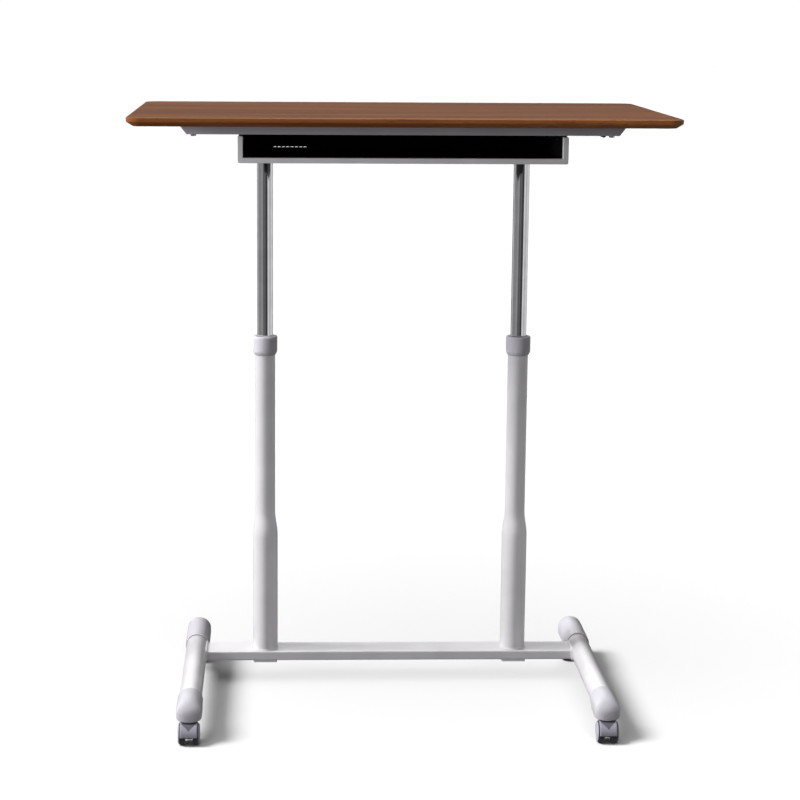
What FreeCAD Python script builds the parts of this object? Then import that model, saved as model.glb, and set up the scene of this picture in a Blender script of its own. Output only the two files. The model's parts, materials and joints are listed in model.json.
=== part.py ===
"""Free-standing sit-stand desk on castors: two telescopic gas-spring legs, a wooden top, a shallow tray.

Millimetres.  +Z is up, +Y points away from the user, +X is the user's right.
The origin lies on the floor under the centre of the desktop.  The desk is drawn fully raised.
"""
import FreeCAD, Part
import os
from math import atan2, cos, degrees, pi, sin, tan

V = FreeCAD.Vector
ALONG_X = V(1, 0, 0)
ALONG_Y = V(0, 1, 0)
ALONG_Z = V(0, 0, 1)
SIDES = {"left": -1, "right": 1}

# ---- driving dimensions -------------------------------------------------------------------
TOP_WIDTH = 952.5
TOP_DEPTH = 600.0
TOP_HEIGHT = 1122.0
TOP_THICKNESS = 15.0
TOP_CORNER = 25.0
TOP_BAND = 7.6              # height of the upright edge above the under-bevel
TOP_BEVEL = 12.0            # how far the under-bevel runs in

LEG_X = 243.0
LEG_Y = 112.0
TUBE_R = 15.0
TUBE_BORE = 13.5
TUBE_END = 530.0            # lower end of the sliding tube when raised

FRAME_HEIGHT = 17.4
RAIL_DEPTH = 30.0
RAIL_REACH = 217.0          # outer face of each rail from the centre
RAIL_HALF_BOTTOM = 376.5
RAIL_HALF_TOP = 390.0
RAIL_WALL = 1.5
ARM_WIDTH = 40.0
ARM_WALL = 2.0

TRAY_HALF = 288.0
TRAY_FRONT = -215.0
TRAY_BACK = 80.0
TRAY_BOTTOM = 1040.0
BEZEL_WIDTH = 9.3
BEZEL_DEPTH = 14.0
SHEET = 1.2

COLUMN_R = 19.05
COLUMN_WALL = 1.6
OVAL_X = 24.0               # half-axes of the lower, oval stretch of a column
OVAL_Y = 28.0
SWAGE_TOP = 343.0
SWAGE_BOTTOM = 295.0
COLUMN_TOP = 679.5
COLLAR_R = 23.4
COLLAR_BOTTOM = 650.5
COLLAR_TOP = 687.0
SPIGOT_END = 560.0
SPIGOT_R = 17.35

BAR_FRONT = 80.0
BAR_BACK = 144.0
BAR_BOTTOM = 50.0
BAR_TOP = 68.0
BAR_WALL = 2.0
PLATE = 4.0

FOOT_X = 378.0
FOOT_Z = 61.0
FOOT_R = 20.5
FOOT_BORE = 18.0
FRONT_SEAM = -191.0
REAR_SEAM = 146.5
CAP_OVERLAP = 24.0          # how far a cap sleeves over its foot tube
CAP_HALF = 23.3
CAP_UNDER = 43.0
FRONT_CAP_LENGTH = 77.0
REAR_CAP_LENGTH = 138.0

WHEEL_R = 20.0
WHEEL_INNER = 7.0
WHEEL_OUTER = 19.5
CASTER_TRAIL = 15.0
STEM_FRONT_Y = -243.0
STEM_REAR_Y = 254.0
HOOD_GAP = 0.6

GAS_R = 11.0
GAS_BORE = 9.5
GAS_TOP = 690.0
ROD_R = 5.0
VALVE_R = 2.0
RUNNING = 0.05              # radial clearance of a shaft in its bore

CABLE_R = 2.5
CABLE_Z = 1096.5
LEVER_X = 330.0
LEVER_Z = 1100.5
LEVER_FRONT = -183.0
LEVER_BACK = -115.0
ROCKER_OFFSET = 13.0        # rocker pivot from the leg's axis
ROCKER_Z = 1101.0

# ---- heights that follow ------------------------------------------------------------------
TOP_UNDER = TOP_HEIGHT - TOP_THICKNESS
FRAME_UNDER = TOP_UNDER - FRAME_HEIGHT
ARM_FLOOR = FRAME_UNDER + ARM_WALL
COLUMN_FLOOR = BAR_TOP + 5.0
BRACKET = 1.5               # gauge of the release bracket
ROD_TOP = 1097.6
NUT_BOTTOM = ARM_FLOOR + BRACKET

# ---- shared helpers -----------------------------------------------------------------------


def block(x0, x1, y0, y1, z0, z1):
    """Box between two corners."""
    return Part.makeBox(x1 - x0, y1 - y0, z1 - z0, V(x0, y0, z0))


def bar(radius, start, direction, length):
    """Round bar."""
    return Part.makeCylinder(radius, length, start, direction)


def ring(outer, inner, start, direction, length):
    """Round tube."""
    return bar(outer, start, direction, length).cut(bar(inner, start, direction, length))


def prism(points, along):
    """Straight-sided outline pushed along a vector."""
    return Part.Face(Part.makePolygon(points + [points[0]])).extrude(along)


def outline(edges, along):
    """Closed outline of edges pushed along a vector."""
    return Part.Face(Part.Wire(edges)).extrude(along)


def line(a, b):
    return Part.LineSegment(a, b).toShape()


def arc(a, b, c):
    return Part.Arc(a, b, c).toShape()


def revolve_z(profile, x, y):
    """Turn (radius, height) points about the upright line through x, y."""
    points = [V(x + r, y, z) for r, z in profile]
    face = Part.Face(Part.makePolygon(points + [points[0]]))
    return face.revolve(V(x, y, 0), ALONG_Z, 360)


def revolve_x(profile, y, z):
    """Turn (radius, x) points about the crosswise line through y, z."""
    points = [V(x, y, z + r) for r, x in profile]
    face = Part.Face(Part.makePolygon(points + [points[0]]))
    return face.revolve(V(0, y, z), ALONG_X, 360)


def rounded_plate(half_x, half_y, radius, z0, z1):
    """Plate about the Z axis with rounded upright corners."""
    plate = block(-half_x, half_x, -half_y, half_y, z0, z1)
    upright = [e for e in plate.Edges if abs(e.tangentAt(0).z) > 0.9]
    return plate.makeFillet(radius, upright)


def rounded_wire(half_x, half_y, radius, z):
    """Rounded rectangle about the Z axis."""
    face = rounded_plate(half_x, half_y, radius, z, z + 1).Faces
    return next(f for f in face if f.CenterOfMass.z < z + 0.01).OuterWire


def fillet_where(shape, radius, test):
    """Round the edges whose midpoint and direction pass a test."""
    edges = [e for e in shape.Edges if test(e.CenterOfMass, e.tangentAt(e.FirstParameter))]
    return shape.makeFillet(radius, edges)


def screw(head, direction, shank_r, length, head_r, head_height):
    """Pan-head screw; head is the centre of the head's bearing face."""
    shank = bar(shank_r, head, direction, length)
    pan = bar(head_r, head - direction * head_height, direction, head_height)
    rim = [e for e in pan.Edges if abs((e.CenterOfMass - head).dot(direction)) > head_height - 0.01]
    pan = pan.makeFillet(head_height * 0.4, rim[:1])
    drive = bar(head_r * 0.35, head - direction * head_height, direction, head_height * 0.5)
    return shank.fuse(pan).cut(drive).removeSplitter()


def save(name, *solids):
    shape = solids[0] if len(solids) == 1 else Part.makeCompound(list(solids))
    valid = shape.isValid() and all(s.isClosed() for s in shape.Solids)
    print("%-26s solids %2d  volume %10.0f  %s" % (name, len(shape.Solids), shape.Volume, valid))
    shape.exportStep("parts/" + name + ".step")


# ---- places shared by several pieces ------------------------------------------------------
TOP_SCREWS = [(x, y) for y in (-202.0, 202.0) for x in (-364.5, 364.5)]
TOP_SCREWS += [(-LEG_X, 160.0), (LEG_X, 160.0)]
SOCKET_SCREW_Y = [LEG_Y - 23.0, LEG_Y + 23.0]
HANGER_Y = [-100.0, 40.0]
HANGER_SCREW_X = 252.0
HANGER_SCREW_Z = 1076.0
HOUSING_SCREWS = [(319.5, -172.0), (319.5, -126.0)]
CABLE_Y = {"left": -150.0, "right": -166.0}
BOLT_Y = [LEG_Y - 17.0, LEG_Y + 17.0]
CASTERS = {
    "front_left": (-FOOT_X, STEM_FRONT_Y),
    "front_right": (FOOT_X, STEM_FRONT_Y),
    "rear_left": (-FOOT_X, STEM_REAR_Y),
    "rear_right": (FOOT_X, STEM_REAR_Y),
}

# ---- desktop and the frame under it -------------------------------------------------------


def tabletop():
    half_x = TOP_WIDTH / 2
    half_y = TOP_DEPTH / 2
    edge_z = TOP_HEIGHT - TOP_BAND
    slab = rounded_plate(half_x, half_y, TOP_CORNER, edge_z, TOP_HEIGHT)
    slab = fillet_where(slab, 1.2, lambda c, t: c.z > TOP_HEIGHT - 0.01)
    lower = rounded_wire(half_x - TOP_BEVEL, half_y - TOP_BEVEL, TOP_CORNER - TOP_BEVEL, TOP_UNDER)
    upper = rounded_wire(half_x, half_y, TOP_CORNER, edge_z)
    top = slab.fuse(Part.makeLoft([lower, upper], True, True)).removeSplitter()
    for x, y in TOP_SCREWS:
        top = top.cut(bar(2.3, V(x, y, TOP_UNDER), ALONG_Z, 10.2))
    for x, y in HOUSING_SCREWS:
        top = top.cut(bar(2.05, V(x, y, TOP_UNDER), ALONG_Z, 5.2))
    return top


def rail(side):
    """Pressed channel with sloping ends, open towards the desktop; side is -1 in front, 1 behind."""
    outer = side * RAIL_REACH
    inner = side * (RAIL_REACH - RAIL_DEPTH)
    y0 = min(outer, inner)
    y1 = max(outer, inner)

    def trapezium(inset, start, depth):
        bottom = FRAME_UNDER + inset
        ends = ((RAIL_HALF_BOTTOM, bottom), (RAIL_HALF_TOP, TOP_UNDER + inset))
        points = [V(-x + inset, start, z) for x, z in ends[::-1]]
        points += [V(x - inset, start, z) for x, z in ends]
        return prism(points, V(0, depth, 0))

    body = trapezium(0.0, y0, RAIL_DEPTH)
    body = fillet_where(body, 4.0, lambda c, t: abs(t.y) > 0.9 and c.z < FRAME_UNDER + 0.01)
    body = fillet_where(body, 1.4, lambda c, t: abs(t.x) > 0.9 and c.z < FRAME_UNDER + 0.01)
    body = body.cut(trapezium(RAIL_WALL, y0 + RAIL_WALL, y1 - y0 - 2 * RAIL_WALL))
    for x, y in TOP_SCREWS:
        body = body.cut(bar(2.3, V(x, y, FRAME_UNDER - 1), ALONG_Z, FRAME_HEIGHT))
    return body


def arm(side):
    """Channel that joins the two rails over a leg and houses its release head."""
    x = side * LEG_X
    half = ARM_WIDTH / 2
    reach = RAIL_REACH - RAIL_DEPTH
    body = block(x - half, x + half, -reach, reach, FRAME_UNDER, TOP_UNDER)
    body = fillet_where(body, 1.6, lambda c, t: abs(t.y) > 0.9 and c.z < FRAME_UNDER + 0.01)
    body = body.cut(block(x - half + ARM_WALL, x + half - ARM_WALL, -reach, reach, ARM_FLOOR, TOP_UNDER))
    body = body.cut(bar(ROD_R + 0.1, V(x, LEG_Y, FRAME_UNDER - 1), ALONG_Z, 5))
    for sx, sy in TOP_SCREWS:
        body = body.cut(bar(2.3, V(sx, sy, FRAME_UNDER - 1), ALONG_Z, 5))
    for y in SOCKET_SCREW_Y:
        body = body.cut(bar(2.05, V(x, y, FRAME_UNDER - 1), ALONG_Z, 5))
    for y in HANGER_Y:
        body = body.cut(bar(2.05, V(side * HANGER_SCREW_X, y, FRAME_UNDER - 1), ALONG_Z, 5))
    inlet = bar(CABLE_R + 0.05, V(x + half - 3, LEG_Y, CABLE_Z), ALONG_X, 4)
    body = body.cut(inlet)
    if side > 0:
        passage = bar(CABLE_R + 0.4, V(x - half - 1, CABLE_Y["left"], CABLE_Z), ALONG_X, ARM_WIDTH + 2)
        body = body.cut(passage)
    return body


def leg_socket(side):
    """Flanged collar that fastens the sliding tube to its arm."""
    x = side * LEG_X
    plate = block(x - 19, x + 19, LEG_Y - 28, LEG_Y + 28, FRAME_UNDER - 4, FRAME_UNDER)
    plate = fillet_where(plate, 5.0, lambda c, t: abs(t.z) > 0.9)
    body = plate.fuse(bar(TUBE_R + 2.2, V(x, LEG_Y, FRAME_UNDER - 14), ALONG_Z, 11)).removeSplitter()
    body = body.cut(bar(TUBE_R + 0.02, V(x, LEG_Y, FRAME_UNDER - 15), ALONG_Z, 16))
    for y in SOCKET_SCREW_Y:
        body = body.cut(bar(2.05, V(x, y, FRAME_UNDER - 5), ALONG_Z, 6))
    return body


# ---- tray ---------------------------------------------------------------------------------
SHELL_HALF = TRAY_HALF - 2.0
SHELL_BOTTOM = TRAY_BOTTOM + 2.0
SHELL_TOP = FRAME_UNDER - 1.3
SHELL_FRONT = TRAY_FRONT + 7.0
VENT_COUNT = 8
VENT_PITCH = 8.0
VENT_START = -224.0
VENT_Z = 1049.0


def tray_shell():
    body = block(-SHELL_HALF, SHELL_HALF, SHELL_FRONT, TRAY_BACK, SHELL_BOTTOM, SHELL_TOP)
    inside = block(-SHELL_HALF + SHEET, SHELL_HALF - SHEET, SHELL_FRONT, TRAY_BACK - SHEET,
                   SHELL_BOTTOM + SHEET, SHELL_TOP)
    body = body.cut(inside)
    for index in range(VENT_COUNT):
        x = VENT_START + index * VENT_PITCH
        body = body.cut(block(x - 2.5, x + 2.5, TRAY_BACK - 3, TRAY_BACK + 1, VENT_Z - 0.45, VENT_Z + 0.45))
    for y in HANGER_Y:
        start = V(-SHELL_HALF - 1, y, HANGER_SCREW_Z)
        body = body.cut(bar(2.05, start, ALONG_X, 2 * SHELL_HALF + 2))
    return body


def tray_bezel():
    """U-shaped front frame with a groove that holds the front edge of the shell."""
    y1 = TRAY_FRONT + BEZEL_DEPTH
    z1 = SHELL_TOP - 1.7
    body = block(-TRAY_HALF, TRAY_HALF, TRAY_FRONT, y1, TRAY_BOTTOM, z1)
    body = body.cut(block(-TRAY_HALF + BEZEL_WIDTH, TRAY_HALF - BEZEL_WIDTH, TRAY_FRONT, y1,
                          TRAY_BOTTOM + BEZEL_WIDTH, z1))
    body = fillet_where(body, 1.5, lambda c, t: abs(abs(c.x) - TRAY_HALF) < 0.01 and abs(t.y) > 0.9)
    groove_out = block(-SHELL_HALF - 0.05, SHELL_HALF + 0.05, SHELL_FRONT - 0.1, y1,
                       SHELL_BOTTOM - 0.05, z1)
    inner = SHELL_HALF - SHEET - 0.05
    groove_in = block(-inner, inner, SHELL_FRONT - 0.1, y1, SHELL_BOTTOM + SHEET + 0.05, z1)
    return body.cut(groove_out.cut(groove_in))


def tray_hanger(side, y):
    """Angle that hangs the tray's side wall from an arm."""
    x_out = side * (SHELL_HALF - SHEET)
    x_in = side * (LEG_X + 1.0)
    half = 15.0
    flat = block(min(x_in, x_out), max(x_in, x_out), y - half, y + half, FRAME_UNDER - 1.5, FRAME_UNDER)
    leg = block(min(x_out, x_out - side * 1.5), max(x_out, x_out - side * 1.5),
                y - half, y + half, FRAME_UNDER - 22, FRAME_UNDER - 1.5)
    body = flat.fuse(leg).removeSplitter()
    body = body.cut(bar(2.05, V(side * HANGER_SCREW_X, y, FRAME_UNDER - 3), ALONG_Z, 5))
    return body.cut(bar(2.05, V(x_out - 5, y, HANGER_SCREW_Z), ALONG_X, 10))


def frame_screws():
    """Identical M4 screws: sockets to arms, hangers to arms, hangers to tray, lever housing to top."""
    screws = []
    for side in (-1, 1):
        heads = [V(side * LEG_X, y, FRAME_UNDER - 4) for y in SOCKET_SCREW_Y]
        heads += [V(side * HANGER_SCREW_X, y, FRAME_UNDER - 1.5) for y in HANGER_Y]
        screws += [screw(head, ALONG_Z, 2.0, 8.0, 4.0, 2.4) for head in heads]
        for y in HANGER_Y:
            head = V(side * SHELL_HALF, y, HANGER_SCREW_Z)
            screws.append(screw(head, V(-side, 0, 0), 2.0, 8.0, 4.0, 2.4))
    for x, y in HOUSING_SCREWS:
        screws.append(screw(V(x, y, TOP_UNDER - 3), ALONG_Z, 2.0, 8.0, 4.0, 2.4))
    return screws


# ---- legs ---------------------------------------------------------------------------------


def oval(x, y, z, half_x, half_y):
    """Closed oval that starts at its far side; a circle where the half-axes are equal."""
    if half_x == half_y:
        edge = Part.Circle(V(x, y, z), ALONG_Z, half_x).toShape()
        edge.rotate(V(x, y, z), ALONG_Z, 90)
    else:
        edge = Part.Ellipse(V(x, y + half_y, z), V(x - half_x, y, z), V(x, y, z)).toShape()
    return Part.Wire([edge])


def column_core(x, inset, z0, z1):
    """Solid that is oval below, round above and swaged between."""
    steps = 6
    sections = []
    for step in range(steps + 1):
        share = step / steps
        blend = share * share * (3 - 2 * share)
        z = SWAGE_BOTTOM + share * (SWAGE_TOP - SWAGE_BOTTOM)
        half_x = (1 - blend) * OVAL_X + blend * COLUMN_R - inset
        half_y = (1 - blend) * OVAL_Y + blend * COLUMN_R - inset
        sections.append(oval(x, LEG_Y, z, half_x, half_y))
    swage = Part.makeLoft(sections, True)
    foot = Part.Face(oval(x, LEG_Y, z0, OVAL_X - inset, OVAL_Y - inset))
    foot = foot.extrude(V(0, 0, SWAGE_BOTTOM - z0))
    head = bar(COLUMN_R - inset, V(x, LEG_Y, SWAGE_TOP), ALONG_Z, z1 - SWAGE_TOP)
    return foot.fuse(swage).fuse(head)


def column(side):
    x = side * LEG_X
    body = column_core(x, 0.0, BAR_TOP, COLUMN_TOP)
    body = body.cut(column_core(x, COLUMN_WALL, COLUMN_FLOOR, COLUMN_TOP + 1))
    body = body.cut(bar(ROD_R + 0.1, V(x, LEG_Y, BAR_TOP - 1), ALONG_Z, 8))
    for y in BOLT_Y:
        body = body.cut(bar(4.05, V(x, y, BAR_TOP - 1), ALONG_Z, 8))
    return body


def column_collar(side):
    """Plastic cap of a column with the long guide sleeve inside it."""
    bore = TUBE_R + RUNNING
    profile = [
        (COLUMN_R + 0.05, COLLAR_BOTTOM), (COLUMN_R + 1.2, COLLAR_BOTTOM),
        (COLLAR_R - 0.8, COLLAR_BOTTOM + 4.2), (COLLAR_R, COLLAR_BOTTOM + 6.5),
        (COLLAR_R, COLLAR_TOP - 2.6), (COLLAR_R - 0.8, COLLAR_TOP - 0.8),
        (COLLAR_R - 2.4, COLLAR_TOP), (bore + 1.6, COLLAR_TOP),
        (bore, COLLAR_TOP - 2.0), (bore, SPIGOT_END), (SPIGOT_R, SPIGOT_END),
        (SPIGOT_R, COLUMN_TOP), (COLUMN_R + 0.05, COLUMN_TOP),
    ]
    return revolve_z(profile, side * LEG_X, LEG_Y)


def chrome_tube(side):
    start = V(side * LEG_X, LEG_Y, TUBE_END)
    return ring(TUBE_R, TUBE_BORE, start, ALONG_Z, FRAME_UNDER - TUBE_END)


def stop_ring(side):
    """Ring on the foot of the sliding tube; it meets the guide sleeve at full height."""
    start = V(side * LEG_X, LEG_Y, TUBE_END)
    return ring(16.8, TUBE_R, start, ALONG_Z, SPIGOT_END - 0.3 - TUBE_END)


def gas_cylinder(side):
    x = side * LEG_X
    floor = COLUMN_FLOOR + 8
    profile = [
        (0, BAR_TOP + 0.5), (ROD_R, BAR_TOP + 0.5), (ROD_R, COLUMN_FLOOR), (GAS_R, COLUMN_FLOOR),
        (GAS_R, GAS_TOP - 1.5), (GAS_R - 1.5, GAS_TOP), (ROD_R + RUNNING, GAS_TOP),
        (ROD_R + RUNNING, GAS_TOP - 10), (GAS_BORE, GAS_TOP - 10), (GAS_BORE, floor), (0, floor),
    ]
    return revolve_z(profile, x, LEG_Y)


def gas_rod(side):
    """Piston, rod and clamping collar, bored from above for the valve pin."""
    piston = GAS_BORE - RUNNING
    bore = VALVE_R + RUNNING
    profile = [
        (0, 655), (piston, 655), (piston, 675), (ROD_R, 675), (ROD_R, FRAME_UNDER - 5.6),
        (8, FRAME_UNDER - 5.6), (8, FRAME_UNDER), (ROD_R, FRAME_UNDER), (ROD_R, ROD_TOP),
        (bore, ROD_TOP), (bore, 1060), (0, 1060),
    ]
    return revolve_z(profile, side * LEG_X, LEG_Y)


def valve_pin(side):
    pin = bar(VALVE_R, V(side * LEG_X, LEG_Y, 1065), ALONG_Z, 1100.5 - 1065)
    return pin.makeChamfer(0.4, [e for e in pin.Edges if e.CenterOfMass.z > 1100.4])


def rod_nut(side):
    x = side * LEG_X
    corners = [V(x + 9 * cos(k * pi / 3), LEG_Y + 9 * sin(k * pi / 3), NUT_BOTTOM) for k in range(6)]
    return prism(corners, V(0, 0, 4)).cut(bar(ROD_R + 0.02, V(x, LEG_Y, NUT_BOTTOM), ALONG_Z, 4))


# ---- release gear -------------------------------------------------------------------------


def release_bracket(side):
    """U-bracket clamped under the rod nut; its ears carry the rocker pin."""
    x = side * LEG_X
    base = block(x - 13, x + 17.5, LEG_Y - 10, LEG_Y + 10, ARM_FLOOR, ARM_FLOOR + BRACKET)
    body = base
    for y in (LEG_Y - 10, LEG_Y + 10 - BRACKET):
        ear = block(x + 9.5, x + 17.5, y, y + BRACKET, ARM_FLOOR, ROCKER_Z + 4)
        body = body.fuse(ear)
    body = body.removeSplitter().cut(bar(ROD_R + 0.02, V(x, LEG_Y, ARM_FLOOR - 1), ALONG_Z, 5))
    pivot = V(x + ROCKER_OFFSET, LEG_Y - 11, ROCKER_Z)
    return body.cut(bar(2.0, pivot, ALONG_Y, 22))


def rocker_pin(side):
    return bar(2.0, V(side * LEG_X + ROCKER_OFFSET, LEG_Y - 10, ROCKER_Z), ALONG_Y, 20)


def valve_rocker(side):
    """Bell crank: its nose rests just above the valve pin, its heel takes the cable."""
    x = side * LEG_X + ROCKER_OFFSET
    half = 3.0
    hub = bar(3.5, V(x, LEG_Y - 8, ROCKER_Z), ALONG_Y, 16)
    nose_x = x - ROCKER_OFFSET
    nose = bar(2.5, V(nose_x, LEG_Y - half, ROCKER_Z + 2.3), ALONG_Y, 2 * half)
    web = block(nose_x, x, LEG_Y - half, LEG_Y + half, ROCKER_Z + 1.0, ROCKER_Z + 3.4)
    heel = block(x - 2, x + 2, LEG_Y - half, LEG_Y + half, CABLE_Z - 1.5, ROCKER_Z)
    body = hub.fuse(nose).fuse(web).fuse(heel).removeSplitter()
    return body.cut(bar(2.0 + RUNNING, V(x, LEG_Y - 9, ROCKER_Z), ALONG_Y, 18))


def lever_housing():
    """Bracket under the desktop that carries the lever pin and the cable ends."""
    x0 = LEVER_X - 14
    y0 = LEVER_FRONT - 3.5
    y1 = LEVER_BACK + 3.5
    body = block(x0, x0 + 7.5, y0, y1, TOP_UNDER - 3, TOP_UNDER)
    body = body.fuse(block(x0, x0 + 3, y0, y1, CABLE_Z - 4.5, TOP_UNDER))
    for y in (y0, y1 - 3):
        body = body.fuse(block(x0, LEVER_X + 6, y, y + 3, LEVER_Z - 6, TOP_UNDER))
    body = body.removeSplitter().cut(bar(2.5, V(LEVER_X, y0 - 1, LEVER_Z), ALONG_Y, y1 - y0 + 2))
    for y in CABLE_Y.values():
        body = body.cut(bar(1.0, V(x0 - 1, y, CABLE_Z), ALONG_X, 5))
    for x, y in HOUSING_SCREWS:
        body = body.cut(bar(2.05, V(x, y, TOP_UNDER - 4), ALONG_Z, 5))
        body = body.cut(bar(4.1, V(x, y, TOP_UNDER - 6), ALONG_Z, 3))
    return body


def lever_pin():
    start = V(LEVER_X, LEVER_FRONT - 3.5, LEVER_Z)
    return bar(2.5, start, ALONG_Y, LEVER_BACK - LEVER_FRONT + 7)


def release_lever():
    """Finger paddle: a hub on the pin, a flat web and a rounded lip to pull up."""
    y = LEVER_FRONT
    width = LEVER_BACK - LEVER_FRONT
    lip_in = LEVER_X + 19.6
    lip_out = lip_in + 8.0
    lip_end = 1084.6
    hub = bar(5.0, V(LEVER_X, y, LEVER_Z), ALONG_Y, width)
    web_top = LEVER_Z
    web_under = LEVER_Z - 3.2
    edges = [
        line(V(LEVER_X, y, web_top), V(lip_out - 3, y, web_top)),
        arc(V(lip_out - 3, y, web_top), V(lip_out - 0.9, y, web_top - 0.9), V(lip_out, y, web_top - 3)),
        line(V(lip_out, y, web_top - 3), V(lip_out, y, lip_end + 4)),
        arc(V(lip_out, y, lip_end + 4), V(lip_out - 4, y, lip_end), V(lip_in, y, lip_end + 4)),
        line(V(lip_in, y, lip_end + 4), V(lip_in, y, web_under)),
        line(V(lip_in, y, web_under), V(LEVER_X, y, web_under)),
        line(V(LEVER_X, y, web_under), V(LEVER_X, y, web_top)),
    ]
    body = hub.fuse(outline(edges, V(0, width, 0))).removeSplitter()
    body = body.cut(bar(2.5 + RUNNING, V(LEVER_X, y - 1, LEVER_Z), ALONG_Y, width + 2))
    return body


# The two cables lie flat at one height; each list runs from the lever housing to a leg.
ARM_HALF = ARM_WIDTH / 2
CABLE_ROUTES = {
    "right": [(316, -166), (279, -166), (276, -100), (284, -30), (316, 40), (322, 112), (263, 112)],
    "left": [(316, -150), (252, -150), (180, -150), (60, -92), (-80, -52), (-152, 24), (-160, 112),
             (-223, 112)],
}


def cable(points):
    """Round sheath along straight runs joined by tangent arcs."""
    path = [V(x, y, CABLE_Z) for x, y in points]
    edges = []
    start = path[0]
    for before, corner, after in zip(path, path[1:], path[2:]):
        back = before - corner
        ahead = after - corner
        shorter = min(back.Length, ahead.Length)
        half_turn = (pi - back.getAngle(ahead)) / 2
        if half_turn < 0.001:
            continue
        reach = 0.45 * shorter
        radius = reach / tan(half_turn)
        back.normalize()
        ahead.normalize()
        middle = back + ahead
        middle.normalize()
        first = corner + back * reach
        last = corner + ahead * reach
        sagitta = radius / cos(half_turn) - radius
        edges.append(line(start, first))
        edges.append(arc(first, corner + middle * sagitta, last))
        start = last
        print("   cable radius %.1f" % radius)
    edges.append(line(start, path[-1]))
    wire = Part.Wire(edges)
    direction = path[1] - path[0]
    ends = Part.Wire([Part.Circle(path[0], direction, CABLE_R).toShape()])
    sheath = wire.makePipeShell([ends], True, False)
    print("   cable length %.1f, volume ratio %.4f"
          % (wire.Length, sheath.Volume / (pi * CABLE_R ** 2 * wire.Length)))
    return sheath


CLIPS = [("right", 3), ("right", 4), ("left", 2), ("left", 3), ("left", 4)]


def cable_clip(route, run):
    """Saddle that holds a cable under the desktop at the middle of one run."""
    a = V(*CABLE_ROUTES[route][run], CABLE_Z)
    b = V(*CABLE_ROUTES[route][run + 1], CABLE_Z)
    body = block(-4, 4, -5, 5, CABLE_Z - 4.0, TOP_UNDER)
    body = fillet_where(body, 3.0, lambda c, t: abs(t.x) > 0.9 and c.z < CABLE_Z)
    body = body.cut(bar(CABLE_R + 0.05, V(-5, 0, CABLE_Z), ALONG_X, 10))
    body.rotate(V(0, 0, 0), ALONG_Z, degrees(atan2(b.y - a.y, b.x - a.x)))
    body.translate(V((a.x + b.x) / 2, (a.y + b.y) / 2, 0))
    return body


# ---- base ---------------------------------------------------------------------------------


def foot_tube(side):
    start = V(side * FOOT_X, FRONT_SEAM - CAP_OVERLAP, FOOT_Z)
    length = REAR_SEAM - FRONT_SEAM + 2 * CAP_OVERLAP
    return ring(FOOT_R, FOOT_BORE, start, ALONG_Y, length)


def crossbar():
    """Flat tube whose ends are coped to the foot tubes."""
    body = block(-FOOT_X, FOOT_X, BAR_FRONT, BAR_BACK, BAR_BOTTOM, BAR_TOP)
    body = fillet_where(body, 2.5, lambda c, t: abs(t.x) > 0.9)
    body = body.cut(block(-FOOT_X, FOOT_X, BAR_FRONT + BAR_WALL, BAR_BACK - BAR_WALL,
                          BAR_BOTTOM + BAR_WALL, BAR_TOP - BAR_WALL))
    for side in (-1, 1):
        body = body.cut(bar(FOOT_R, V(side * FOOT_X, BAR_FRONT - 5, FOOT_Z), ALONG_Y, 80))
        for y in BOLT_Y:
            body = body.cut(bar(4.1, V(side * LEG_X, y, BAR_BOTTOM - 1), ALONG_Z, 25))
    return max(body.Solids, key=lambda s: s.Volume)


def column_plate(side):
    x = side * LEG_X
    body = block(x - OVAL_X + 1, x + OVAL_X - 1, BAR_FRONT + 1, BAR_BACK - 1,
                 BAR_BOTTOM - PLATE, BAR_BOTTOM)
    body = fillet_where(body, 3.0, lambda c, t: abs(t.z) > 0.9)
    z = BAR_BOTTOM - PLATE
    for y in BOLT_Y:
        hole = [(0, z - 1), (7.6, z - 1), (7.6, z), (4.1, z + 3.5), (4.1, BAR_BOTTOM + 1), (0, BAR_BOTTOM + 1)]
        body = body.cut(revolve_z(hole, x, y))
    return body


def base_bolt(side, y):
    """M8 countersunk bolt, flush under the plate, into the column's foot."""
    z = BAR_BOTTOM - PLATE
    top = COLUMN_FLOOR + 3
    profile = [(0, z + 2.5), (2.9, z + 2.5), (2.9, z), (7.5, z), (4.0, z + 3.5), (4.0, top), (0, top)]
    return revolve_z(profile, side * LEG_X, y)


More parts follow.
